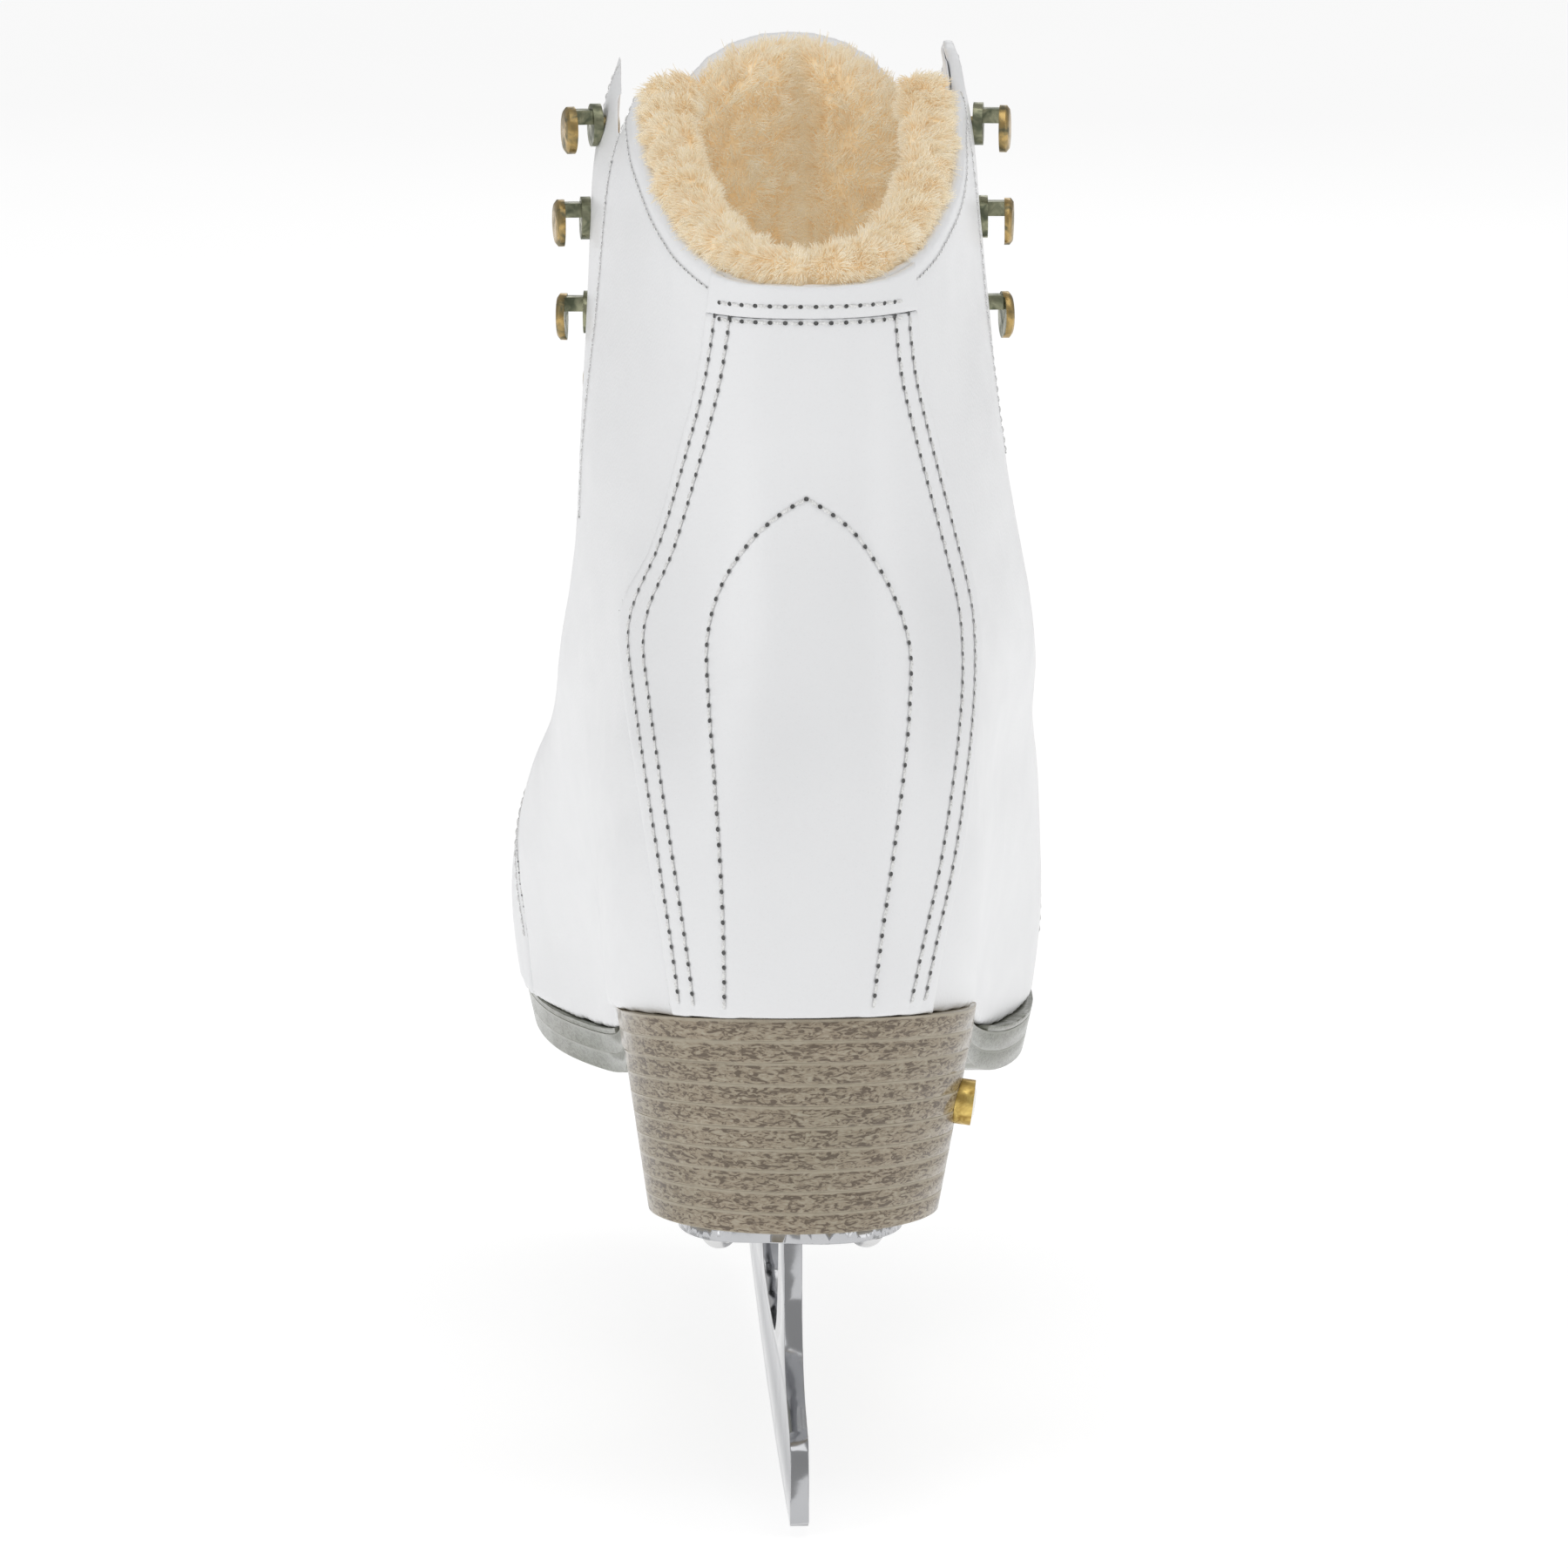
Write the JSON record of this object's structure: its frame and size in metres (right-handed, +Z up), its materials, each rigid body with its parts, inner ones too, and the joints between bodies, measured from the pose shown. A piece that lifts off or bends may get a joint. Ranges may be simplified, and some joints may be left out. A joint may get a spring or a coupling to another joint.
{
  "type": "figure skate",
  "caption": "Right-foot figure skate: white leather lace-up boot with plush collar, stacked heel, lace hooks and a steel blade screwed on.",
  "frame": {"origin": "on the ice, under the middle of the skate's bounding box", "axes": "+X to the outer side of the right foot, +Y to the toe, +Z up"},
  "size_m": [0.1032, 0.2686, 0.2615],
  "materials": {
    "white_leather": "smooth polished white leather",
    "plush": "cream pile fabric",
    "foam": "open cell foam",
    "lining_leather": "soft suede",
    "stack_leather": "lacquered stacked leather",
    "sole_leather": "lacquered sole leather",
    "fibreboard": "pressed board",
    "blade_steel": "polished plated steel",
    "plate_steel": "polished plated steel",
    "screw_steel": "polished",
    "antique_brass": "antiqued",
    "stud_brass": "polished",
    "stud_face": "pearl"
  },
  "bodies": {
    "boot": {"runner": "blade_steel", "heel_plate": "plate_steel", "sole_plate": "plate_steel", "heel_plate_screws": "screw_steel", "sole_plate_screws": "screw_steel", "midsole": "sole_leather", "outsole": "sole_leather", "welt": "sole_leather", "insole_board": "fibreboard", "footbed": "lining_leather", "vamp": "white_leather", "medial_quarter": "white_leather", "lateral_quarter": "white_leather", "back_panel": "white_leather", "top_band": "white_leather", "medial_facing": "white_leather", "lateral_facing": "white_leather", "medial_padding": "foam", "lateral_padding": "foam", "medial_lining": "lining_leather", "lateral_lining": "lining_leather", "vamp_lining": "lining_leather", "collar_roll": "plush", "heel_counter": "fibreboard", "toe_puff": "fibreboard", "medial_eyelets": "antique_brass", "lateral_eyelets": "antique_brass", "medial_hooks": "antique_brass", "lateral_hooks": "antique_brass", "medial_hook_rivets": "antique_brass", "lateral_hook_rivets": "antique_brass", "heel_stud_rim": "stud_brass", "heel_stud_face": "stud_face", "tongue_base": "lining_leather", "heel_lift_1": "stack_leather", "heel_lift_2": "stack_leather", "heel_lift_3": "stack_leather", "heel_lift_4": "stack_leather", "heel_lift_5": "stack_leather", "heel_lift_6": "stack_leather", "heel_lift_7": "stack_leather", "heel_lift_8": "stack_leather"},
    "tongue": {"tongue_leather": "white_leather", "tongue_foam": "foam", "tongue_plush": "plush"}
  },
  "joints": [
    {"name": "tongue_swing", "type": "hinge", "parent": "boot", "child": "tongue", "pos_m": [0, -0.0067, 0.1855], "axis": [-1, 0, 0], "range_deg": [0, 40]}
  ]
}
